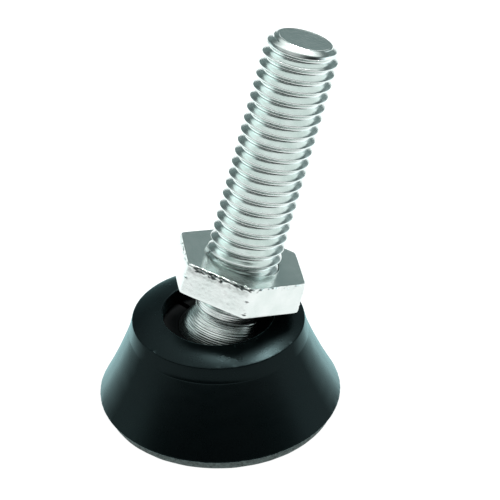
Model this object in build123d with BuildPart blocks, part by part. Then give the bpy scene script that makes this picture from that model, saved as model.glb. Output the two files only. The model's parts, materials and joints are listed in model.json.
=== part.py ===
from build123d import *
import os
from math import atan2, cos, radians, sin, sqrt, tan

# Levelling foot for furniture: a ball stud with a nut on its thread, held in a round plastic base.
# Frame: millimetres, +Z up, origin at the centre of the pad's lower face, on the base's axis.
# The stud leans by stud_tilt towards stud_azimuth, which is measured from +X towards +Y.

os.makedirs("parts", exist_ok=True)

# ---- base: a flared cone of moulded polyamide ----
base_radius = 13.2  # at the lower edge
side_bow = 0.16  # how far the flared side is hollowed from a straight cone
band_flare = 0.4  # how much wider the upper band is at its crease than at its rim
band_height = 1.65  # from the crease up to the rim
top_width = 3.2  # from the mouth out to the rim
top_fall = 0.8  # from the mouth down to the rim
lip_thickness = 1.7  # of the lip that holds the cup down
lip_overlap = 0.58  # how far that lip reaches over the cup's bore, at least
mouth_gap = 0.57  # between the mouth and the leaning stud
crease_round = 0.5
rim_round = 0.2
mouth_round = 0.25
lower_round = 0.15

# ---- anti-slip pad, bonded into a shallow recess under the base ----
pad_inset = 0.7  # from the base's lower edge in to the pad's recess
pad_stand = 1.3  # how far the pad stands below the base
pad_recess = 0.3  # how far the pad sits in the base
pad_round = 0.3
bond_gap = 0.05  # around the pad and the disc

# ---- bearing disc: steel, closes the socket from below ----
disc_overlap = 1.0  # how far the disc reaches past the cup's bore
disc_thickness = 0.6

# ---- ball and socket cup ----
ball_radius = 4.8
ball_flat = 0.3  # depth of the turned flat under the ball
ball_clearance = 0.05  # radial, ball in cup
cup_floor = 0.5  # under the ball
cup_wall = 1.65  # beside the ball, at least
cup_neck_gap = 0.1  # in height, between the cup's lip and the leaning neck
cup_clearance = 0.08  # radial, cup in base
cup_play = 0.05  # axial, at both ends of the cup
cup_edge = 0.25
slot_width = 0.6  # slots that let the lip spring over the ball
slot_count = 4
slot_turn = 45.0
slot_drop = 1.0  # how far the slots run below the ball's centre
neck_radius = 3.3  # in the groove above the ball
collar_radius = 3.55  # above that groove
collar_drop = 1.05  # from the neck's end face down to the collar's edge
collar_slope = 0.12  # height of the cone under the collar
neck_reach = 0.05  # how far the neck's end face stands clear of the ball's sphere

# ---- stud: M8 x 1.25, drawn at the thread's outer diameter ----
thread_radius = 3.94
thread_start_chamfer = 0.5
tip_chamfer = 1.0
stud_reach = 35.3  # from the ball's centre to the tip
shoulder_gap = 0.05  # axial, between the neck and the stud's shoulder
spigot_radius = 2.0
spigot_drop = 0.6  # how far the spigot runs below the ball's centre
spigot_clearance = 0.03  # radial, spigot in ball

# ---- nut: a thin M8 hexagon ----
nut_across_flats = 13.0
nut_thickness = 3.5
nut_gap = 0.86  # between the base's rim and the nut's lowest corner
nut_turn = 5.9  # about the stud's axis
nut_clearance = 0.06  # radial, nut over the thread's crests
nut_countersink = 0.25  # at both ends of the bore
nut_corner_cut = 0.25  # radial, the chamfer that takes off the corners
nut_corner_angle = 30.0

# ---- pose ----
stud_tilt = 18.0
stud_azimuth = 30.0

# ---- derived heights ----
lean = radians(stud_tilt)
pad_top = pad_stand + pad_recess
disc_top = pad_top + disc_thickness
cup_bottom = disc_top + cup_play
cavity_radius = ball_radius + ball_clearance
ball_height = cup_bottom + cup_floor + cavity_radius
neck_meet = sqrt(ball_radius**2 - neck_radius**2)  # along the neck, where it leaves the ball
cup_top = ball_height + neck_meet * cos(lean) - neck_radius * sin(lean) - cup_neck_gap
shoulder_height = cup_top + cup_play
mouth_height = shoulder_height + lip_thickness
rim_height = mouth_height - top_fall
crease_height = rim_height - band_height

# ---- derived radii ----
mouth_radius = (mouth_height - ball_height) * tan(lean) + thread_radius / cos(lean) + mouth_gap
cup_radius = max(cavity_radius + cup_wall, mouth_radius + lip_overlap - cup_clearance)
bore_radius = cup_radius + cup_clearance
disc_radius = bore_radius + disc_overlap
pad_radius = base_radius - pad_inset
rim_radius = mouth_radius + top_width
crease_radius = rim_radius + band_flare
side_slope = atan2(base_radius - crease_radius, crease_height - pad_stand)
side_radius = (base_radius + crease_radius) / 2 - side_bow * cos(side_slope)
side_height = (pad_stand + crease_height) / 2 - side_bow * sin(side_slope)

# ---- derived places along the stud, from the ball's centre ----
neck_end = ball_radius + neck_reach
stud_start = neck_end + shoulder_gap
nut_bore = thread_radius + nut_clearance
nut_corner_radius = nut_across_flats / sqrt(3)
nut_rise = (rim_height - ball_height + nut_gap + nut_corner_radius * sin(lean)) / cos(lean)

upright = Location((0, 0, ball_height), (0, 0, stud_azimuth))
ball_plane = Plane(upright * Location((0, 0, 0), (0, stud_tilt, 0)))
lean_axis = Axis(ball_plane.origin, ball_plane.z_dir)
lean_section = Plane(ball_plane.origin, x_dir=ball_plane.x_dir, z_dir=-ball_plane.y_dir)


def corner(sketch, across, up):
    """The corner of a sketch nearest to a point in the sketch's own axes."""
    return sketch.vertices().sort_by_distance((across, up, 0))[0]


# ---- base body ----
with BuildPart() as base_body:
    with BuildSketch(Plane.XZ) as base_profile:
        with BuildLine():
            Line((pad_radius, pad_stand), (base_radius, pad_stand))
            ThreePointArc(
                (base_radius, pad_stand),
                (side_radius, side_height),
                (crease_radius, crease_height),
            )
            Polyline(
                (crease_radius, crease_height),
                (rim_radius, rim_height),
                (mouth_radius, mouth_height),
                (mouth_radius, shoulder_height),
                (bore_radius, shoulder_height),
                (bore_radius, disc_top),
                (disc_radius, disc_top),
                (disc_radius, pad_top),
                (pad_radius, pad_top),
                (pad_radius, pad_stand),
            )
        make_face()
        fillet(corner(base_profile, base_radius, pad_stand), lower_round)
        fillet(corner(base_profile, crease_radius, crease_height), crease_round)
        fillet(corner(base_profile, rim_radius, rim_height), rim_round)
        fillet(corner(base_profile, mouth_radius, mouth_height), mouth_round)
    revolve(axis=Axis.Z)

# ---- anti-slip pad ----
with BuildPart() as anti_slip_pad:
    with BuildSketch(Plane.XY):
        Circle(pad_radius - bond_gap)
    extrude(amount=pad_top)
    fillet(anti_slip_pad.edges().group_by(Axis.Z)[0], pad_round)

# ---- bearing disc ----
with BuildPart() as bearing_disc:
    with BuildSketch(Plane.XY.offset(pad_top)):
        Circle(disc_radius - bond_gap)
    extrude(amount=disc_thickness)

# ---- socket cup: a slotted acetal cup that snaps over the ball ----
with BuildPart() as socket_cup:
    with BuildSketch(Plane.XZ):
        with BuildLine():
            Polyline((0, cup_bottom), (cup_radius, cup_bottom), (cup_radius, cup_top), (0, cup_top), (0, cup_bottom))
        make_face()
    revolve(axis=Axis.Z)
    chamfer(socket_cup.edges().filter_by(GeomType.CIRCLE), cup_edge)
    with BuildSketch(Plane.XZ):
        with BuildLine():
            CenterArc((0, ball_height), cavity_radius, -90, 180)
            Line((0, ball_height + cavity_radius), (0, ball_height - cavity_radius))
        make_face()
    revolve(axis=Axis.Z, mode=Mode.SUBTRACT)
    slot_length = cup_radius + slot_width
    with BuildSketch(Plane.XY.offset(ball_height - slot_drop)):
        with PolarLocations(slot_length / 2, slot_count, start_angle=slot_turn):
            Rectangle(slot_length, slot_width)
    extrude(amount=cup_top - ball_height + slot_drop, mode=Mode.SUBTRACT)

# ---- ball head: turned ball with a short neck, bored for the stud's spigot ----
with BuildPart() as ball_head:
    with BuildSketch(lean_section):
        with BuildLine():
            flat_depth = ball_radius - ball_flat
            flat_radius = sqrt(ball_radius**2 - flat_depth**2)
            bore_end = spigot_drop + shoulder_gap
            spigot_bore = spigot_radius + spigot_clearance
            ThreePointArc((flat_radius, -flat_depth), (ball_radius, 0), (neck_radius, neck_meet))
            Polyline(
                (neck_radius, neck_meet),
                (neck_radius, neck_end - collar_drop - collar_slope),
                (collar_radius, neck_end - collar_drop),
                (collar_radius, neck_end),
                (spigot_bore, neck_end),
                (spigot_bore, -bore_end),
                (0, -bore_end),
                (0, -flat_depth),
                (flat_radius, -flat_depth),
            )
        make_face()
    revolve(axis=lean_axis)

# ---- threaded stud ----
with BuildPart() as threaded_stud:
    with BuildSketch(ball_plane.offset(stud_start)):
        Circle(thread_radius)
    extrude(amount=stud_reach - stud_start)
    ends = threaded_stud.edges().filter_by(GeomType.CIRCLE).sort_by(lean_axis)
    chamfer(ends[0], thread_start_chamfer)
    ends = threaded_stud.edges().filter_by(GeomType.CIRCLE).sort_by(lean_axis)
    chamfer(ends[-1], tip_chamfer)
    with BuildSketch(ball_plane.offset(-spigot_drop)):
        Circle(spigot_radius)
    extrude(amount=spigot_drop + stud_start)

# ---- hex nut: a hexagon whose corners are turned off at both faces ----
with BuildPart() as hex_nut:
    with BuildSketch(lean_section) as nut_blank:
        with Locations((0, nut_rise + nut_thickness / 2)):
            Rectangle(2 * nut_corner_radius, nut_thickness)
        chamfer(nut_blank.vertices(), nut_corner_cut * tan(radians(nut_corner_angle)), nut_corner_cut)
        split(bisect_by=Plane.YZ)
    revolve(axis=lean_axis)
    with BuildSketch(ball_plane.offset(nut_rise)):
        RegularPolygon(nut_corner_radius, 6, major_radius=True, rotation=nut_turn)
    extrude(amount=nut_thickness, mode=Mode.INTERSECT)
    with BuildSketch(ball_plane.offset(nut_rise)):
        Circle(nut_bore)
    extrude(amount=nut_thickness, mode=Mode.SUBTRACT)
    bore_rims = hex_nut.edges().filter_by(GeomType.CIRCLE)
    chamfer(bore_rims.filter_by(lambda e: abs(e.radius - nut_bore) < 1e-4), nut_countersink)

# ---- files, one for each piece ----
base_body.part.label = "base_body"
export_step(base_body.part, "parts/base_body.step")
anti_slip_pad.part.label = "anti_slip_pad"
export_step(anti_slip_pad.part, "parts/anti_slip_pad.step")
bearing_disc.part.label = "bearing_disc"
export_step(bearing_disc.part, "parts/bearing_disc.step")
socket_cup.part.label = "socket_cup"
export_step(socket_cup.part, "parts/socket_cup.step")
ball_head.part.label = "ball_head"
export_step(ball_head.part, "parts/ball_head.step")
threaded_stud.part.label = "threaded_stud"
export_step(threaded_stud.part, "parts/threaded_stud.step")
hex_nut.part.label = "hex_nut"
export_step(hex_nut.part, "parts/hex_nut.step")
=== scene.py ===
import json
import math

import bmesh
import bpy
from mathutils import Matrix, Vector, noise


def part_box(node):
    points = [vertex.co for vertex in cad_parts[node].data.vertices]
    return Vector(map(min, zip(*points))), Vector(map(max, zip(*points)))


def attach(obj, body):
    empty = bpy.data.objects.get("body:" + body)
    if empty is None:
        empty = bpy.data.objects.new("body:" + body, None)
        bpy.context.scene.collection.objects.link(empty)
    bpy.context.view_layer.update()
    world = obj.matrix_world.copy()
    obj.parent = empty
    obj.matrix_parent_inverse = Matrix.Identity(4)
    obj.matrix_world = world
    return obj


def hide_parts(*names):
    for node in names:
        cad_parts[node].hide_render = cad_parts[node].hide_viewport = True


bl_info = {
    "name": "Leveling Foot",
    "version": (1, 0, 0),
    "blender": (4, 5, 0),
    "location": "3D View > Sidebar > Leveling Foot",
    "description": "Builds the turned, rolled and moulded surfaces of a furniture leveling foot",
    "category": "Mesh",
}

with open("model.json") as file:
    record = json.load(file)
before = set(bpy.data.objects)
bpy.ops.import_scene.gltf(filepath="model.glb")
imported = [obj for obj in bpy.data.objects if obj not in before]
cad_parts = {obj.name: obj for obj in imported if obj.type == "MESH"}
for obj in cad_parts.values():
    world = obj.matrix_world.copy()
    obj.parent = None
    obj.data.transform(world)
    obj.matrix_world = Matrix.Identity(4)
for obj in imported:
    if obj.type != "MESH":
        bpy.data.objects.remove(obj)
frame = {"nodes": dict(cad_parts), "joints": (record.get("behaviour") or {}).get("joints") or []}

MM = 0.001
MERGED_GAP = 1e-7  # points nearer than this are one point
NO_LENGTH = 1e-8
FLANK_TAN = math.tan(math.radians(30))  # half the angle between a thread's flanks

JOINTS = {joint["name"]: joint for joint in frame["joints"]}
BALL_CENTRE = Vector(JOINTS["ball_tilt"]["pos_m"])
STUD_AXIS = Vector(JOINTS["nut_travel"]["axis"]).normalized()
STUD_ACROSS = (Vector((0, 0, 1)).cross(STUD_AXIS)).normalized().cross(STUD_AXIS).normalized()
NECK_RADIUS = 3.25 * MM

# Where each mark lies, as an angle round its piece.
FLASH_SIDE = math.radians(255)
CHIP_SIDE = math.radians(222)
RAGGED_SIDE = math.radians(276)

# Tones are (place from 0 to 1, linear colour) stops.
# Floor, between these two distances: brighter and cooler behind the part, which the nut's top mirrors.
FLOOR_NEAR, FLOOR_FAR = -0.16, 0.04
FLOOR_TONES = ((0.8, (1.0, 1.0, 1.0)), (0.92, (1.15, 1.2, 1.2)))
# Wall, level to straight up: the dark middle gives the steel its black lines, the ceiling its white ones.
HEIGHT_TONES = (
    (0.0, (0.15, 0.20, 0.20)), (0.25, (0.175, 0.24, 0.235)), (0.38, (0.10, 0.13, 0.13)),
    (0.54, (0.09, 0.12, 0.12)), (0.66, (0.60, 0.66, 0.65)), (0.84, (1.05, 1.08, 1.07)))
# Screens, left to right and then by height: they light the outer edges of the flared side.
SIDE_TONES = (
    (0.03, (1.4, 1.55, 1.55)), (0.17, (0.0, 0.0, 0.0)), (0.83, (0.0, 0.0, 0.0)), (0.96, (1.3, 1.4, 1.45)))
SIDE_HEIGHT_TONES = ((0.12, (1.0, 1.0, 1.0)), (0.4, (0.0, 0.0, 0.0)))
# Share of the wall that is left, front to back: the viewer's side is dark.
FRONT_TONES = ((0.06, (0.06, 0.07, 0.07)), (0.28, (0.12, 0.13, 0.13)), (0.47, (1.0, 1.0, 1.0)))
# Share of the plastic's skin that mirrors, face on to edge on: none in the middle, a soft gleam at the edge.
SKIN_TONES = (
    (0.0, (0.0, 0.0, 0.0)), (0.006, (0.0125, 0.0125, 0.0125)), (0.02, (0.0145, 0.0145, 0.0145)),
    (0.05, (0.08, 0.08, 0.08)), (0.14, (0.30, 0.30, 0.30)), (0.4, (0.45, 0.45, 0.45)))
# Share of the zinc's colour that is left, deep to open: painted shade at the thread's roots.
PAINTED_SHADE_TONES = ((0.46, (0.35, 0.37, 0.37)), (0.64, (1.0, 1.0, 1.0)))

# The ceiling lights the viewer's side too, from and up to these heights.
CEILING_LOW, CEILING_HIGH = 0.55, 0.9
LAMP_SIDE = Vector((0.20, 0.39, 0.90)).normalized()
LAMP_AWAY, LAMP_WIDTH, LAMP_RADIANCE = 0.5, 0.20, 72.0
LAMP_AIM = Vector((0, 0, 12 * MM))


def stud_matrix():
    """Axes of the leaning stud: Z along it from the ball's centre, X in the plane of the lean."""
    turn = Matrix((STUD_ACROSS, STUD_AXIS.cross(STUD_ACROSS), STUD_AXIS)).transposed().to_4x4()
    return Matrix.Translation(BALL_CENTRE) @ turn


def reach(cad_node):
    """How far a CAD node goes along the stud's axis from the ball's centre, and out from that axis."""
    along, out = [], []
    for vertex in frame["nodes"][cad_node].data.vertices:
        offset = vertex.co - BALL_CENTRE
        height = offset.dot(STUD_AXIS)
        along.append(height)
        out.append((offset - height * STUD_AXIS).length)
    return min(along), max(along), max(out)


# ---------------------------------------------------------------- sizes and colours


class BaseSizes(bpy.types.PropertyGroup):
    """The moulded base and its pad."""

    crease_radius: bpy.props.FloatProperty(
        name="Crease radius", description="Radius where the flared side meets the upper band",
        default=9.6 * MM, subtype="DISTANCE", unit="LENGTH")
    crease_height: bpy.props.FloatProperty(
        name="Crease height", description="Height of the crease above the floor",
        default=9.1 * MM, subtype="DISTANCE", unit="LENGTH")
    rim_radius: bpy.props.FloatProperty(
        name="Rim radius", description="Radius of the top's outer edge",
        default=9.2 * MM, subtype="DISTANCE", unit="LENGTH")
    rim_height: bpy.props.FloatProperty(
        name="Rim height", description="Height of the top's outer edge above the floor",
        default=10.75 * MM, subtype="DISTANCE", unit="LENGTH")
    mouth_radius: bpy.props.FloatProperty(
        name="Mouth radius", description="Radius of the opening round the ball",
        default=6.0 * MM, subtype="DISTANCE", unit="LENGTH")
    side_bow: bpy.props.FloatProperty(
        name="Side bow", description="How far the flared side is hollowed from a straight cone",
        default=0.16 * MM, subtype="DISTANCE", unit="LENGTH")
    crown: bpy.props.FloatProperty(
        name="Crown", description="How far the ring round the mouth swells above a straight slope",
        default=0.15 * MM, subtype="DISTANCE", unit="LENGTH")
    plastic_colour: bpy.props.StringProperty(
        name="Plastic colour", description="Black of the polyamide, as sRGB hex", default="#050A0B")
    pad_colour: bpy.props.StringProperty(
        name="Pad colour", description="Grey of the anti-slip pad, as sRGB hex", default="#6A7A78")


class SteelSizes(bpy.types.PropertyGroup):
    """The ball stud and its nut."""

    pitch: bpy.props.FloatProperty(
        name="Thread pitch", description="Distance between two crests",
        default=1.25 * MM, subtype="DISTANCE", unit="LENGTH")
    thread_depth: bpy.props.FloatProperty(
        name="Thread depth", description="From the thread's crest to its root",
        default=0.72 * MM, subtype="DISTANCE", unit="LENGTH")
    thread_start: bpy.props.FloatProperty(
        name="Thread start", description="Where a crest lies along the stud, on the side it leans to",
        default=0.10 * MM, subtype="DISTANCE", unit="LENGTH")
    tip_radius: bpy.props.FloatProperty(
        name="Tip radius", description="Radius of the turned face at the stud's tip",
        default=2.95 * MM, subtype="DISTANCE", unit="LENGTH")
    collar_radius: bpy.props.FloatProperty(
        name="Collar radius", description="Radius of the neck above the groove over the ball",
        default=3.55 * MM, subtype="DISTANCE", unit="LENGTH")
    collar_drop: bpy.props.FloatProperty(
        name="Collar drop", description="From the neck's end face down to the collar's lower edge",
        default=1.05 * MM, subtype="DISTANCE", unit="LENGTH")
    turned_step: bpy.props.FloatProperty(
        name="Turned groove spacing", description="Feed of the lathe tool that turned the ball",
        default=0.24 * MM, subtype="DISTANCE", unit="LENGTH")
    nut_flats: bpy.props.FloatProperty(
        name="Nut width", description="Across the nut's flats",
        default=13.0 * MM, subtype="DISTANCE", unit="LENGTH")
    nut_countersink: bpy.props.FloatProperty(
        name="Countersink radius", description="Radius of the nut's countersink at its faces",
        default=4.06 * MM, subtype="DISTANCE", unit="LENGTH")
    nut_turn: bpy.props.FloatProperty(
        name="Nut turn", description="Angle of a corner of the nut from the side the stud leans to",
        default=math.radians(5.9), subtype="ANGLE", unit="ROTATION")
    zinc_colour: bpy.props.StringProperty(
        name="Zinc colour", description="Bright zinc plating, as sRGB hex", default="#E9F0EE")


# ---------------------------------------------------------------- mesh helpers


def wave(seed, x, y, z=0.0):
    """Smooth noise from -1 to 1, the same on each run."""
    return noise.noise(Vector((x + 17.3 * seed, y - 9.1 * seed, z + 4.7 * seed)))


def wave_round(seed, angle, lumps, z=0.0):
    """The same noise round a piece, finer with more lumps."""
    return wave(seed, lumps * math.cos(angle), lumps * math.sin(angle), z)


def rounded(corners, steps=6):
    """A polyline from (x, y, radius) corners, each with a round of that radius."""
    points = []
    for i, (x, y, radius) in enumerate(corners):
        here = Vector((x, y))
        if radius <= 0 or i in (0, len(corners) - 1):
            points.append(here)
            continue
        back = (Vector(corners[i - 1][:2]) - here).normalized()
        ahead = (Vector(corners[i + 1][:2]) - here).normalized()
        half = back.angle(ahead) / 2
        centre = here + (back + ahead).normalized() * (radius / math.sin(half))
        start = here + back * (radius / math.tan(half)) - centre
        end = here + ahead * (radius / math.tan(half)) - centre
        sweep = start.angle_signed(end)
        for k in range(steps + 1):
            turn = Matrix.Rotation(-sweep * k / steps, 2)
            points.append(centre + turn @ start)
    return points


def finer(points, step):
    """The same polyline with no run longer than step."""
    made = [points[0]]
    for a, b in zip(points, points[1:]):
        count = max(1, math.ceil((b - a).length / step))
        made += [a.lerp(b, k / count) for k in range(1, count + 1)]
    return made


def sheet_of_rows(name, rows, place, closed_ends=(False, False)):
    """A mesh from rows of points that each go once round, with a fan over each closed end."""
    columns = len(rows[0])
    points = [place @ p for row in rows for p in row]
    faces = []
    for low in range(0, (len(rows) - 1) * columns, columns):
        high = low + columns
        for i in range(columns):
            k = (i + 1) % columns
            faces.append((low + i, low + k, high + k, high + i))
    for end, wanted in enumerate(closed_ends):
        if wanted:
            row = rows[0] if end == 0 else rows[-1]
            first = 0 if end == 0 else (len(rows) - 1) * columns
            points.append(place @ (sum(row, Vector()) / columns))
            for i in range(columns):
                k = (i + 1) % columns
                pair = (first + k, first + i) if end == 0 else (first + i, first + k)
                faces.append((*pair, len(points) - 1))
    return mesh_piece(name, points, faces)


def mesh_piece(name, points, faces):
    """An object of merged, outward-facing, smooth-shaded faces."""
    data = bpy.data.meshes.new(name)
    data.from_pydata([tuple(p) for p in points], [], faces)
    shape = bmesh.new()
    shape.from_mesh(data)
    bmesh.ops.remove_doubles(shape, verts=shape.verts, dist=MERGED_GAP)
    bmesh.ops.dissolve_degenerate(shape, edges=shape.edges, dist=NO_LENGTH)
    bmesh.ops.recalc_face_normals(shape, faces=shape.faces)
    shape.to_mesh(data)
    shape.free()
    data.polygons.foreach_set("use_smooth", [True] * len(data.polygons))
    piece = bpy.data.objects.new(name, data)
    bpy.context.scene.collection.objects.link(piece)
    return piece


def turned(name, profile, columns, place, uneven=None, closed_ends=(False, False)):
    """A piece of revolution from (radius, height) points; uneven(angle, radius, height) moves a point."""
    rows = []
    for radius, height in profile:
        row = []
        for i in range(columns):
            angle = 2 * math.pi * i / columns
            r, z = (radius, height) if uneven is None else uneven(angle, radius, height)
            row.append(Vector((r * math.cos(angle), r * math.sin(angle), z)))
        rows.append(row)
    return sheet_of_rows(name, rows, place, closed_ends)


# ---------------------------------------------------------------- materials


def srgb(code):
    """A hex colour such as #A0B0C0 as linear RGBA."""
    values = [int(code[i:i + 2], 16) / 255 for i in (1, 3, 5)]
    return [v / 12.92 if v <= 0.04045 else ((v + 0.055) / 1.055) ** 2.4 for v in values] + [1.0]


def node(owner, kind, settings=None, **links):
    """Adds a node to a material or world, with its settings and links.

    A setting is a property, an input's value by name or number, or a ramp's stops, whose colours are hex or
    linear. A link is named for its input, or _ and a number, and comes from a socket or a node's first one.
    """
    made = owner.node_tree.nodes.new(kind)
    for key, value in (settings or {}).items():
        if key == "stops":
            band = made.color_ramp.elements
            while len(band) < len(value):
                band.new(0.5)
            for element, (position, colour) in zip(band, value):
                element.position = position
                element.color = srgb(colour) if isinstance(colour, str) else (*colour, 1.0)
        elif isinstance(key, int) or key in made.inputs:
            made.inputs[key].default_value = value
        else:
            setattr(made, key, value)
    for key, source in links.items():
        target = made.inputs[int(key[1:])] if key[0] == "_" else made.inputs[key.replace("_", " ")]
        start = source.outputs[0] if isinstance(source, bpy.types.Node) else source
        owner.node_tree.links.new(start, target)
    return made


def new_material(name):
    """An empty node material, and the socket that gives its patterns their place on the piece."""
    material = bpy.data.materials.new(name)
    material.use_nodes = True
    material.node_tree.nodes.clear()
    return material, node(material, "ShaderNodeTexCoord").outputs["Object"]


def polyamide_moulded(colour):
    """Black polyamide, injection moulded: near black face on, a cold gleam at its edges, a fine grain.

    The grain is drawn coarser than a moulded one, so that it shows.
    """
    material, place = new_material("polyamide_moulded")
    cloud = node(material, "ShaderNodeTexNoise", {"Scale": 1 / (4 * MM), "Detail": 4.0}, Vector=place)
    black = node(material, "ShaderNodeValToRGB", {"stops": ((0.3, colour), (0.75, "#080C0D"))}, Fac=cloud)
    grain = node(material, "ShaderNodeTexNoise", {"Scale": 1 / (0.12 * MM), "Detail": 4.0}, Vector=place)
    bump = node(material, "ShaderNodeBump", {"Distance": 0.004 * MM, "Strength": 0.6}, Height=grain)
    body = node(material, "ShaderNodeBsdfPrincipled", {"Roughness": 0.6, "Specular IOR Level": 0.0},
                Base_Color=black, Normal=bump)
    smear = node(material, "ShaderNodeTexNoise", {"Scale": 1 / (1.2 * MM), "Detail": 5.0}, Vector=place)
    gloss = node(material, "ShaderNodeMapRange", {"To Min": 0.24, "To Max": 0.32}, Value=smear)
    skin = node(material, "ShaderNodeBsdfGlossy", {"Color": srgb("#CEF8FB")}, Roughness=gloss, Normal=bump)
    edge = node(material, "ShaderNodeFresnel", {"IOR": 1.17}, Normal=bump)
    share = node(material, "ShaderNodeValToRGB", {"stops": SKIN_TONES}, Fac=edge)
    both = node(material, "ShaderNodeMixShader", _0=share, _1=body, _2=skin)
    node(material, "ShaderNodeOutputMaterial", Surface=both)
    return material


def acetal_moulded():
    """Black acetal, injection moulded: a dark, slightly waxy skin deep in the mouth.

    Its grain is drawn coarser than a moulded one too.
    """
    material, place = new_material("acetal_moulded")
    cloud = node(material, "ShaderNodeTexNoise", {"Scale": 1 / (2 * MM), "Detail": 3.0}, Vector=place)
    black = node(material, "ShaderNodeValToRGB", {"stops": ((0.3, "#030708"), (0.7, "#05090A"))}, Fac=cloud)
    grain = node(material, "ShaderNodeTexNoise", {"Scale": 1 / (0.2 * MM), "Detail": 3.0}, Vector=place)
    bump = node(material, "ShaderNodeBump", {"Distance": 0.004 * MM, "Strength": 0.5}, Height=grain)
    shader = node(material, "ShaderNodeBsdfPrincipled",
                  {"Roughness": 0.5, "IOR": 1.48, "Specular IOR Level": 0.06}, Base_Color=black, Normal=bump)
    node(material, "ShaderNodeOutputMaterial", Surface=shader)
    return material


def rubber_sheet(colour):
    """Grey rubber sheet, die cut: a matt, finely pitted and speckled strip under the gloss of the base."""
    material, place = new_material("rubber_sheet")
    speckle = node(material, "ShaderNodeTexNoise",
                   {"Scale": 1 / (0.35 * MM), "Detail": 6.0, "Roughness": 0.65}, Vector=place)
    grey = node(material, "ShaderNodeValToRGB", {"stops": ((0.35, "#3C4745"), (0.68, colour))}, Fac=speckle)
    bump = node(material, "ShaderNodeBump", {"Distance": 0.03 * MM, "Strength": 0.7}, Height=speckle)
    shader = node(material, "ShaderNodeBsdfPrincipled", {"Roughness": 0.75}, Base_Color=grey, Normal=bump)
    node(material, "ShaderNodeOutputMaterial", Surface=shader)
    return material


def zinc_bright(name, colour, roughness, rough_spread, grit, grit_height, shade_reach=0.0):
    """Steel with bright zinc plating: a clear blue-white metal with a fine crystal grain.

    grit is the grain's size, drawn coarser than zinc's crystals, so that it breaks up the reflections.
    The last argument is how near another surface has to be for painted shade to darken the colour, or 0 for
    no painted shade.
    """
    material, place = new_material(name)
    cloud = node(material, "ShaderNodeTexNoise", {"Scale": 1 / (1.8 * MM), "Detail": 4.0}, Vector=place)
    zinc = node(material, "ShaderNodeValToRGB", {"stops": ((0.32, "#DDE7E4"), (0.7, colour))}, Fac=cloud)
    # Painted shade: ambient occlusion darkens the zinc's colour where other surfaces are near, such as the
    # thread's roots, with noise for a ragged edge.
    if shade_reach > 0:
        shade = node(material, "ShaderNodeAmbientOcclusion", {"samples": 6, "Distance": shade_reach})
        patches = node(material, "ShaderNodeTexNoise",
                       {"Scale": 1 / (0.14 * MM), "Detail": 4.0, "Roughness": 0.7}, Vector=place)
        depth = node(material, "ShaderNodeMath", {"operation": "MULTIPLY_ADD", 1: 0.5},
                     _0=patches, _2=shade.outputs["AO"])
        painted_shade = node(material, "ShaderNodeValToRGB", {"stops": PAINTED_SHADE_TONES}, Fac=depth)
        zinc = node(material, "ShaderNodeVectorMath", {"operation": "MULTIPLY"}, _0=zinc, _1=painted_shade)
    smear = node(material, "ShaderNodeTexNoise", {"Scale": 1 / (0.5 * MM), "Detail": 5.0}, Vector=place)
    gloss = node(material, "ShaderNodeMapRange",
                 {"To Min": roughness - rough_spread, "To Max": roughness + rough_spread}, Value=smear)
    grain = node(material, "ShaderNodeTexNoise",
                 {"Scale": 1 / grit, "Detail": 5.0, "Roughness": 0.6}, Vector=place)
    bump = node(material, "ShaderNodeBump", {"Distance": grit_height, "Strength": 0.8}, Height=grain)
    shader = node(material, "ShaderNodeBsdfPrincipled", {"Metallic": 1.0},
                  Base_Color=zinc, Roughness=gloss, Normal=bump)
    node(material, "ShaderNodeOutputMaterial", Surface=shader)
    return material


def finish_piece(piece, body, cad_node, material):
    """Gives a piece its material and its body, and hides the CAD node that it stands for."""
    piece.data.materials.append(material)
    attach(piece, body)
    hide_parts(cad_node)


# ---------------------------------------------------------------- operators


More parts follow.
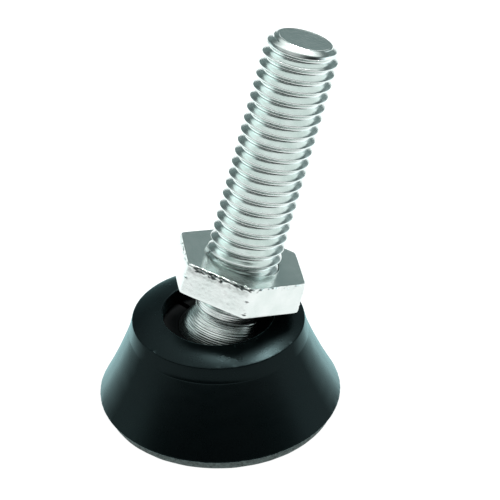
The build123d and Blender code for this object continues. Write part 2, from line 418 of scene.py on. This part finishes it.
class FOOT_OT_base(bpy.types.Operator):
    """Moulded base: a flared cone with a short upper band and an open mouth."""

    bl_idname = "foot.base"
    bl_label = "Base"

    def execute(self, context):
        size = context.scene.foot_base
        low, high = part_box("base_body")
        cup_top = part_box("socket_cup")[1].z
        cup_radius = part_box("socket_cup")[1].x
        disc_low, disc_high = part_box("bearing_disc")
        pad_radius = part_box("anti_slip_pad")[1].x
        foot_radius = high.x
        rim = Vector((size.rim_radius, size.rim_height))
        mouth = Vector((size.mouth_radius, high.z))
        crown = []
        for k in range(1, 16):
            t = k / 16
            p = rim.lerp(mouth, t)
            crown.append((p.x, p.y + 4 * t * (1 - t) * size.crown, 0))
        chord = Vector((size.crease_radius - foot_radius, size.crease_height - low.z))
        inward = Vector((-chord.y, chord.x)).normalized()
        side = []
        for k in range(1, 24):
            t = k / 24
            p = Vector((foot_radius, low.z)) + chord * t + inward * (4 * t * (1 - t) * size.side_bow)
            side.append((p.x, p.y, 0))
        gap = 0.08 * MM
        corners = [
            (cup_radius + gap, disc_high.z, 0),
            (cup_radius + gap, cup_top + gap, 0),
            (size.mouth_radius, cup_top + gap, 0.1 * MM),
            (size.mouth_radius, high.z, 0.12 * MM),
            *crown[::-1],
            (size.rim_radius, size.rim_height, 0.16 * MM),
            (size.crease_radius, size.crease_height, 0.45 * MM),
            *side[::-1],
            (foot_radius, low.z, 0.1 * MM),
            (pad_radius + gap, low.z, 0),
            (pad_radius + gap, disc_low.z, 0),
            (disc_high.x + gap, disc_low.z, 0),
            (disc_high.x + gap, disc_high.z, 0),
            (cup_radius + gap, disc_high.z, 0),
        ]
        fine_step, coarse_step = 0.03 * MM, 0.4 * MM
        profile = []
        outline = rounded(corners)
        for a, b in zip(outline, outline[1:]):
            near_crease = abs((a.y + b.y) / 2 - size.crease_height) < 0.4 * MM
            in_round = (a - b).length < 0.06 * MM
            outside = a.x > size.mouth_radius + 2 * MM
            fine = outside and (near_crease or in_round)
            profile += finer([a, b], fine_step if fine else coarse_step)[:-1]
        profile.append(outline[-1])

        ripple = 0.012 * MM
        edge_band, edge_lift, edge_pull = 0.3 * MM, 0.07 * MM, 0.05 * MM
        flash, flash_width = 0.04 * MM, 0.05
        chip_depth, chip_width, chip_angle = 0.14 * MM, 0.15, 0.02

        def uneven(angle, radius, height):
            """Mould marks: a flash line on the crease, chips on the rim and a wavy lower edge."""
            r = radius + ripple * wave_round(5, angle, 5, height / MM)
            z = height
            if radius > foot_radius - edge_band:
                z += edge_lift * abs(wave_round(3, angle, 14))
                r -= edge_pull * abs(wave_round(4, angle, 30))
            above = (height - size.crease_height) / MM
            if abs(above) < 0.4:
                strong = max(0.0, math.cos(angle - FLASH_SIDE)) ** 6
                r += flash * strong * math.exp(-((above / flash_width) ** 2))
            at_rim = math.hypot(height - size.rim_height, radius - size.rim_radius) / MM
            if at_rim < 0.5:
                chip = max(0.0, wave_round(7, angle, 17) - 0.3)
                chip += math.exp(-(((angle - CHIP_SIDE) / chip_angle) ** 2))
                z += chip_depth * chip * math.exp(-((at_rim / chip_width) ** 2))
            return min(r, foot_radius), z

        piece = turned("base_cone", [(p.x, p.y) for p in profile], 288, Matrix.Identity(4), uneven)
        finish_piece(piece, "base", "base_body", polyamide_moulded(size.plastic_colour))
        return {"FINISHED"}


class FOOT_OT_pad(bpy.types.Operator):
    """Anti-slip pad: a die-cut rubber disc bonded under the base."""

    bl_idname = "foot.pad"
    bl_label = "Pad"

    def execute(self, context):
        low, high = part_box("anti_slip_pad")
        radius = high.x
        corners = [
            (0.0, 0.0, 0), (radius, 0.0, 0.28 * MM), (radius, high.z, 0.03 * MM), (0.0, high.z, 0)]
        profile = finer(rounded(corners), 0.4 * MM)[1:-1]

        edge_depth = 0.05 * MM

        def uneven(angle, r, z):
            """The cut edge wanders in and out a little."""
            edge = edge_depth * wave_round(8, angle, 9, z / MM)
            pull = 1.0 if r > radius - 0.4 * MM else 0.0
            return min(r + pull * (edge - edge_depth), radius), z

        outline = [(p.x, p.y) for p in profile]
        piece = turned("pad_disc", outline, 192, Matrix.Identity(4), uneven, (True, True))
        rubber = rubber_sheet(context.scene.foot_base.pad_colour)
        finish_piece(piece, "base", "anti_slip_pad", rubber)
        return {"FINISHED"}


class FOOT_OT_socket(bpy.types.Operator):
    """Finish of the socket cup and of the disc under it, which keep their CAD shapes."""

    bl_idname = "foot.socket"
    bl_label = "Socket"

    def execute(self, context):
        # A duller grey than the ball, as the disc is cut from rolled sheet.
        steel = zinc_bright("steel_rolled", "#AEB6B5", 0.38, 0.06, 0.3 * MM, 0.004 * MM)
        for name, material in (("socket_cup", acetal_moulded()), ("bearing_disc", steel)):
            data = frame["nodes"][name].data
            data.materials.clear()
            data.materials.append(material)
        return {"FINISHED"}


class FOOT_OT_ball(bpy.types.Operator):
    """Ball head: a turned ball with the tool's fine grooves, and its neck."""

    bl_idname = "foot.ball"
    bl_label = "Ball"

    def execute(self, context):
        size = context.scene.foot_steel
        bottom, top, radius = reach("ball_head")
        meet = math.sqrt(radius**2 - NECK_RADIUS**2)
        start = math.acos(bottom / radius)
        end = math.acos(meet / radius)
        profile = [(radius * math.sin(start) * k / 8, bottom) for k in range(1, 8)]
        steps = 470
        for k in range(steps + 1):
            t = start + (end - start) * k / steps
            profile.append((radius * math.sin(t), radius * math.cos(t)))
        edge = top - size.collar_drop
        wide = size.collar_radius
        collar = [
            (NECK_RADIUS, meet), (NECK_RADIUS, edge - 0.14 * MM), (wide - 0.03 * MM, edge),
            (wide, edge + 0.05 * MM), (wide - 0.1 * MM, edge + 0.14 * MM),
            (wide - 0.02 * MM, edge + 0.3 * MM), (wide - 0.02 * MM, top)]
        profile += [(p.x, p.y) for p in finer([Vector(p) for p in collar], 0.03 * MM)[1:]]
        profile += [(wide * (1 - k / 4), top) for k in range(1, 4)]

        end_face = 0.01 * MM
        groove_depth, scratch_depth = 0.024 * MM, 0.008 * MM

        def uneven(angle, r, z):
            """Lathe marks: grooves that vary in spacing, depth and round the ball, with fine scratches."""
            if z < bottom + end_face or z > top - end_face:
                return r, z
            arc = radius * math.acos(z / radius) if z < meet else meet - z
            phase = arc / size.turned_step + 0.6 * wave(11, arc / (0.9 * MM), 0.0)
            cut = 0.5 - 0.5 * math.cos(2 * math.pi * phase)
            patch = 0.5 + 0.5 * wave_round(13, angle, 1.3, arc / (1.1 * MM))
            depth = groove_depth * (0.5 + 0.5 * wave(12, arc / (0.35 * MM), 2.0)) * (0.35 + 0.9 * patch)
            scratch = scratch_depth * wave_round(14, angle, 4, arc / (0.07 * MM))
            if z > meet:
                return r - 0.4 * (cut * depth) + min(0.0, 0.5 * scratch), z
            scale = 1 - (cut * depth + max(0.0, scratch)) / radius
            return r * scale, z * scale

        piece = turned("ball_turned", profile, 108, stud_matrix(), uneven, (True, True))
        # Bright, with reflections that the grooves break into rings.
        steel = zinc_bright("steel_turned_zinc", size.zinc_colour, 0.24, 0.06, 0.14 * MM, 0.003 * MM)
        finish_piece(piece, "ball", "ball_head", steel)
        return {"FINISHED"}


def thread_section(depth, pitch, crest):
    """One pitch of a 60 degree rolled thread as (phase, radius) points, the crest at phase 0."""
    half_crest = 0.055
    flank = depth * FLANK_TAN / pitch
    root_edge = half_crest + flank
    soft = 0.022
    half = [
        (0.0, 0.0),
        (half_crest - soft, 0.004),
        (half_crest - 0.2 * soft, 0.02),
        (half_crest + soft, 0.075),
    ]
    half += [(half_crest + flank * t, t) for t in (0.25, 0.45, 0.65, 0.82)]
    half += [(root_edge - 0.2 * soft, 0.93), (root_edge + soft, 0.985), (0.5, 1.0)]
    half = [(p, crest - depth * d) for p, d in half]
    return [*half, *[(1 - p, r) for p, r in half[-2:0:-1]]]


class FOOT_OT_stud(bpy.types.Operator):
    """Threaded stud: a rolled M8 thread with a chamfered, turned tip."""

    bl_idname = "foot.stud"
    bl_label = "Stud"

    def execute(self, context):
        size = context.scene.foot_steel
        _, tip, crest = reach("threaded_stud")
        shoulder = reach("ball_head")[1] + 0.05 * MM
        root = crest - size.thread_depth
        section = thread_section(size.thread_depth, size.pitch, crest - 0.01 * MM)
        columns = 132
        first_turn = math.floor((shoulder - size.thread_start) / size.pitch) - 1
        turns = range(first_turn, first_turn + math.ceil((tip - shoulder) / size.pitch) + 3)
        line = [(turn + phase, r) for turn in turns for phase, r in section]
        count = len(line)
        bevel = [
            (size.tip_radius, tip - 0.06 * MM), (root + 0.30 * MM, tip - 0.36 * MM),
            (root + 0.52 * MM, tip - 0.8 * MM), (crest, tip - 1.5 * MM)]
        lead_in, lead_slope = 0.2 * MM, 3.0

        def envelope(z):
            """The largest radius that the blank leaves at a height."""
            for (r0, z0), (r1, z1) in zip(bevel, bevel[1:]):
                if z >= z1:
                    return r0 + (r1 - r0) * (z0 - z) / (z0 - z1)
            return min(crest, root + lead_in + lead_slope * (z - shoulder))

        crest_dent, ripple = 0.03 * MM, 0.008 * MM

        points, faces = [], []
        top, bottom = bevel[0][1], shoulder
        for i in range(columns):
            angle = 2 * math.pi * i / columns
            turn = (math.cos(angle), math.sin(angle))
            for height, r in line:
                z = size.thread_start + size.pitch * (height + i / columns)
                depth = (crest - r) / size.thread_depth
                if depth < 0.35:
                    r -= crest_dent * max(0.0, wave_round(21, angle, 9, z / (0.5 * MM)))
                r += ripple * wave_round(23, angle, 4, z / (0.9 * MM))
                z = min(max(z, bottom), top)
                r = min(r, crest, envelope(z))
                points.append(Vector((r * turn[0], r * turn[1], z)))
        for i in range(columns):
            for j in range(count - 1):
                a = i * count + j
                if i < columns - 1:
                    faces.append((a, a + count, a + count + 1, a + 1))
                elif j + 1 + len(section) < count:
                    b = j + len(section)
                    faces.append((a, b, b + 1, a + 1))

        rim = size.tip_radius
        dish = [
            (rim, top), (rim - 0.02 * MM, tip - 0.02 * MM), (rim - 0.06 * MM, tip),
            (rim - 0.22 * MM, tip - 0.005 * MM), (rim - 0.27 * MM, tip - 0.03 * MM),
            (rim - 0.33 * MM, tip - 0.035 * MM)]
        rings = 34
        for k in range(rings):
            r = (rim - 0.38 * MM) * (1 - k / rings)
            cut = 0.004 * MM * math.sin(2.4 * k) + 0.012 * MM * wave(25, k * 0.35, 0)
            dish.append((r, tip - 0.04 * MM + cut))
        lower = [(root * (1 - k / 6), bottom) for k in range(6)]
        for outline in (dish, lower):
            start = len(points)
            for r, z in outline:
                for i in range(columns):
                    angle = 2 * math.pi * i / columns
                    points.append(Vector((r * math.cos(angle), r * math.sin(angle), z)))
            for k in range(len(outline) - 1):
                for i in range(columns):
                    a, b = start + k * columns + i, start + k * columns + (i + 1) % columns
                    faces.append((a, b, b + columns, a + columns))
            points.append(Vector((0, 0, outline[-1][1])))
            ring = start + (len(outline) - 1) * columns
            faces += [(ring + i, ring + (i + 1) % columns, len(points) - 1) for i in range(columns)]
        place = stud_matrix()
        piece = mesh_piece("stud_rolled", [place @ p for p in points], faces)
        # Brilliant flanks, with black painted shade down between the threads.
        steel = zinc_bright(
            "steel_rolled_zinc", size.zinc_colour, 0.2, 0.05, 0.13 * MM, 0.005 * MM, 0.45 * MM)
        finish_piece(piece, "stud", "threaded_stud", steel)
        return {"FINISHED"}


class FOOT_OT_nut(bpy.types.Operator):
    """Thin hexagon nut: punched and pressed, with a torn strip under its upper edges and a tapped bore."""

    bl_idname = "foot.nut"
    bl_label = "Nut"

    def execute(self, context):
        size = context.scene.foot_steel
        bottom, top, corner = reach("hex_nut")
        crest = reach("threaded_stud")[2]
        columns = 6 * 56
        sector = math.radians(60)
        corner_round = 0.16 * MM
        bore_low = crest - size.thread_depth + 0.12 * MM
        deep = crest + 0.04 * MM
        half_root = 0.105
        # Insets from the flats: at the top face, along the sides, and of the bevels over and under them.
        face_inset, side_inset, bevel = 0.17 * MM, 0.02 * MM, 0.12 * MM
        lip = 0.03 * MM
        nick_depth, nick_angle = 0.3 * MM, 0.03

        def from_corner(angle):
            """Angle from the nearest corner."""
            return (angle - size.nut_turn + sector / 2) % sector - sector / 2

        def hexagon(angle, inset):
            """Radius of the hexagon at an angle, drawn in by inset, with softly rounded corners."""
            sharp = (size.nut_flats / 2 - inset) / math.cos(sector / 2 - abs(from_corner(angle)))
            limit = corner - 1.1 * inset
            gap = (limit - sharp) / corner_round
            return limit - corner_round * math.log1p(math.exp(gap)) if gap < 30 else sharp

        def tapped(angle, z):
            """Radius of the tapped bore, in step with the stud's thread."""
            turns = (z - size.thread_start) / size.pitch - angle / (2 * math.pi)
            away = abs(turns - round(turns)) - half_root
            return min(max(deep - away * size.pitch / FLANK_TAN, bore_low), deep)

        def strip(angle):
            """Height of the torn strip under the upper edge, which wanders slowly and is ragged in detail."""
            coarse = wave_round(31, angle, 5)
            fine = wave_round(32, angle, 34)
            return (0.46 + 0.10 * coarse + 0.20 * fine) * MM

        levels = [("bore", k / 110) for k in range(111)]
        levels += [("top", k / 12) for k in range(1, 12)]
        levels += [("edge", k / 4) for k in range(5)]
        levels += [("strip", k / 6) for k in range(1, 7)]
        levels += [("side", k / 26) for k in range(1, 26)]
        levels += [("foot", k / 5) for k in range(6)]
        levels += [("bottom", k / 12) for k in range(1, 12)]
        # Rows go up the bore, out over the top, down the sides and back in under the bottom.
        rows = []
        for kind, t in levels:
            row = []
            for i in range(columns):
                angle = 2 * math.pi * i / columns
                turn = (math.cos(angle), math.sin(angle))
                ragged = 0.01 + 0.06 * max(0.0, math.cos(angle - RAGGED_SIDE)) ** 2
                burr = ragged * MM * wave_round(33, angle, 38)
                tall = strip(angle)
                # Torn metal keeps a straight bevel. Where it isn't torn, the side goes on almost to the top.
                torn = min(1.0, max(0.0, 0.8 + 1.6 * wave_round(36, angle, 11)))
                if kind == "bore":
                    z = bottom + (top - bottom) * t
                    r = max(tapped(angle, z), size.nut_countersink - min(z - bottom, top - z))
                elif kind == "top":
                    z = top
                    r = size.nut_countersink + (hexagon(angle, face_inset) - size.nut_countersink) * t
                elif kind == "edge":
                    bend = math.radians(90 * t)
                    r = hexagon(angle, face_inset - lip * math.sin(bend)) + burr * t
                    z = top - lip * (1 - math.cos(bend))
                elif kind == "strip":
                    rough = 0.10 * MM * wave_round(34, angle, 30, 3 * t) * math.sin(math.pi * t)
                    lean = bevel * (1 - t) ** (1 + 6 * (1 - torn))
                    r = hexagon(angle, side_inset + lean) + burr * (1 - t) + rough
                    z = top - lip - tall * t
                elif kind == "side":
                    z = (top - lip - tall) * (1 - t) + (bottom + bevel) * t
                    ease = min(1.0, 6 * t, 12 * (1 - t))
                    nick = max(0.0, wave_round(37, angle, 3, z / (0.22 * MM)) - 0.1)
                    rough = 0.012 * MM * wave_round(35, angle, 30, z / (0.25 * MM))
                    r = hexagon(angle, side_inset * (1 - ease)) + rough * ease
                    r -= nick_depth * ease * nick * math.exp(-((from_corner(angle) / nick_angle) ** 2))
                elif kind == "foot":
                    bend = math.radians(90 * t)
                    r = hexagon(angle, side_inset + bevel * (1 - math.cos(bend)))
                    z = bottom + bevel * (1 - math.sin(bend))
                else:
                    z = bottom
                    r = hexagon(angle, side_inset + bevel) * (1 - t) + size.nut_countersink * t
                row.append(Vector((min(r, corner) * turn[0], min(r, corner) * turn[1], z)))
            rows.append(row)
        rows.append(rows[0])
        piece = sheet_of_rows("nut_pressed", rows, stud_matrix())
        # Smooth, bright faces that mirror the floor.
        steel = zinc_bright("steel_pressed_zinc", size.zinc_colour, 0.22, 0.05, 0.1 * MM, 0.002 * MM)
        finish_piece(piece, "nut", "hex_nut", steel)
        return {"FINISHED"}


def studio_world():
    """A soft studio: a grey wall, a white ceiling, a screen on each side, and the viewer's dark side."""
    world = bpy.data.worlds.new("studio")
    world.use_nodes = True
    world.node_tree.nodes.clear()
    place = node(world, "ShaderNodeTexCoord").outputs["Generated"]
    split = node(world, "ShaderNodeSeparateXYZ", _0=place)
    across, up = split.outputs["X"], split.outputs["Z"]
    whole = {"From Min": -1.0, "From Max": 1.0}
    wall = node(world, "ShaderNodeValToRGB", {"stops": HEIGHT_TONES}, Fac=up)
    depth = node(world, "ShaderNodeMapRange", whole, Value=split.outputs["Y"])
    front = node(world, "ShaderNodeValToRGB", {"stops": FRONT_TONES}, Fac=depth)
    sideways = node(world, "ShaderNodeMapRange", whole, Value=across)
    side = node(world, "ShaderNodeValToRGB", {"stops": SIDE_TONES}, Fac=sideways)
    level = node(world, "ShaderNodeValToRGB", {"stops": SIDE_HEIGHT_TONES}, Fac=up)
    screens = node(world, "ShaderNodeVectorMath", {"operation": "MULTIPLY"}, _0=side, _1=level)
    walls = node(world, "ShaderNodeVectorMath", {"operation": "ADD"}, _0=wall, _1=screens)
    ceiling = node(world, "ShaderNodeMapRange", {"From Min": CEILING_LOW, "From Max": CEILING_HIGH}, Value=up)
    lit = node(world, "ShaderNodeVectorMath", {"operation": "MAXIMUM"}, _0=front, _1=ceiling)
    tone = node(world, "ShaderNodeVectorMath", {"operation": "MULTIPLY"}, _0=walls, _1=lit)
    node(world, "ShaderNodeOutputWorld", Surface=node(world, "ShaderNodeBackground", Color=tone))
    return world


def soft_lamp():
    """A wide, low soft light from behind and above, which draws the white lines on the steel."""
    lamp = bpy.data.lights.new("overhead", "AREA")
    lamp.shape = "RECTANGLE"
    lamp.size = LAMP_WIDTH
    lamp.size_y = LAMP_WIDTH / 2
    lamp.energy = LAMP_RADIANCE * math.pi * lamp.size * lamp.size_y
    lamp_object = bpy.data.objects.new("overhead", lamp)
    lamp_object.location = LAMP_AIM + LAMP_SIDE * LAMP_AWAY
    lamp_object.rotation_euler = LAMP_SIDE.to_track_quat("Z", "Y").to_euler()
    bpy.context.scene.collection.objects.link(lamp_object)


def floor_white():
    """Pale lit floor: an even white that glows by itself, so that the part stands in no grey pool."""
    material, place = new_material("floor_white")
    spot = node(material, "ShaderNodeSeparateXYZ", _0=place)
    depth = node(material, "ShaderNodeMapRange", {"From Min": FLOOR_NEAR, "From Max": FLOOR_FAR},
                 Value=spot.outputs["Y"])
    glow = node(material, "ShaderNodeValToRGB", {"stops": FLOOR_TONES}, Fac=depth)
    shader = node(material, "ShaderNodeBsdfPrincipled",
                  {"Base Color": srgb("#3C3E3E"), "Roughness": 0.9, "Specular IOR Level": 0.0,
                   "Emission Strength": 1.0}, Emission_Color=glow)
    node(material, "ShaderNodeOutputMaterial", Surface=shader)
    return material


class FOOT_OT_stage(bpy.types.Operator):
    """Pale floor, soft studio light and the camera."""

    bl_idname = "foot.stage"
    bl_label = "Stage"

    def execute(self, context):
        scene = context.scene
        scene.view_settings.view_transform = "Standard"
        half, drop = 0.6, -0.02 * MM
        corners = [Vector((x * half, y * half, drop)) for x, y in ((-1, -1), (1, -1), (1, 1), (-1, 1))]
        floor = mesh_piece("floor", corners, [(0, 1, 2, 3)])
        floor.data.materials.append(floor_white())

        scene.world = studio_world()
        soft_lamp()

        camera = bpy.data.cameras.new("camera")
        camera_object = bpy.data.objects.new("camera", camera)
        scene.collection.objects.link(camera_object)
        scene.camera = camera_object
        pitch = math.radians(33.96)
        roll = math.radians(-1.03)
        away = 249.2 * MM
        aim = Vector((3.49, 0.0, 19.276)) * MM
        back = Vector((0, -math.cos(pitch), math.sin(pitch)))
        up = Vector((0, math.sin(pitch), math.cos(pitch)))
        across = Vector((1, 0, 0))
        right = across * math.cos(roll) + up * math.sin(roll)
        above = up * math.cos(roll) - across * math.sin(roll)
        turn = Matrix((right, above, back)).transposed().to_4x4()
        camera_object.matrix_world = Matrix.Translation(aim + back * away) @ turn
        lens_per_width = 4.7731
        camera.sensor_width = 36
        camera.lens = lens_per_width * camera.sensor_width
        camera.clip_start = 0.01
        camera.clip_end = 5
        return {"FINISHED"}


class FOOT_PT_panel(bpy.types.Panel):
    """Lists the pieces of the leveling foot."""

    bl_idname = "FOOT_PT_panel"
    bl_label = "Leveling Foot"
    bl_space_type = "VIEW_3D"
    bl_region_type = "UI"
    bl_category = "Leveling Foot"

    def draw(self, context):
        for piece in PIECES:
            self.layout.operator(piece.bl_idname)


PIECES = (FOOT_OT_stage, FOOT_OT_base, FOOT_OT_pad, FOOT_OT_socket, FOOT_OT_ball, FOOT_OT_stud, FOOT_OT_nut)
GROUPS = {"foot_base": BaseSizes, "foot_steel": SteelSizes}


def register():
    for group in GROUPS.values():
        bpy.utils.register_class(group)
    for piece in (*PIECES, FOOT_PT_panel):
        bpy.utils.register_class(piece)
    for name, group in GROUPS.items():
        setattr(bpy.types.Scene, name, bpy.props.PointerProperty(type=group))


def unregister():
    for name in GROUPS:
        delattr(bpy.types.Scene, name)
    for piece in (FOOT_PT_panel, *reversed(PIECES)):
        bpy.utils.unregister_class(piece)
    for group in GROUPS.values():
        bpy.utils.unregister_class(group)


def main():
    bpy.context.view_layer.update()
    register()
    for operator in (bpy.ops.foot.stage, bpy.ops.foot.base, bpy.ops.foot.pad, bpy.ops.foot.socket,
                     bpy.ops.foot.ball, bpy.ops.foot.stud, bpy.ops.foot.nut):
        operator()


if __name__ == "__main__":
    main()
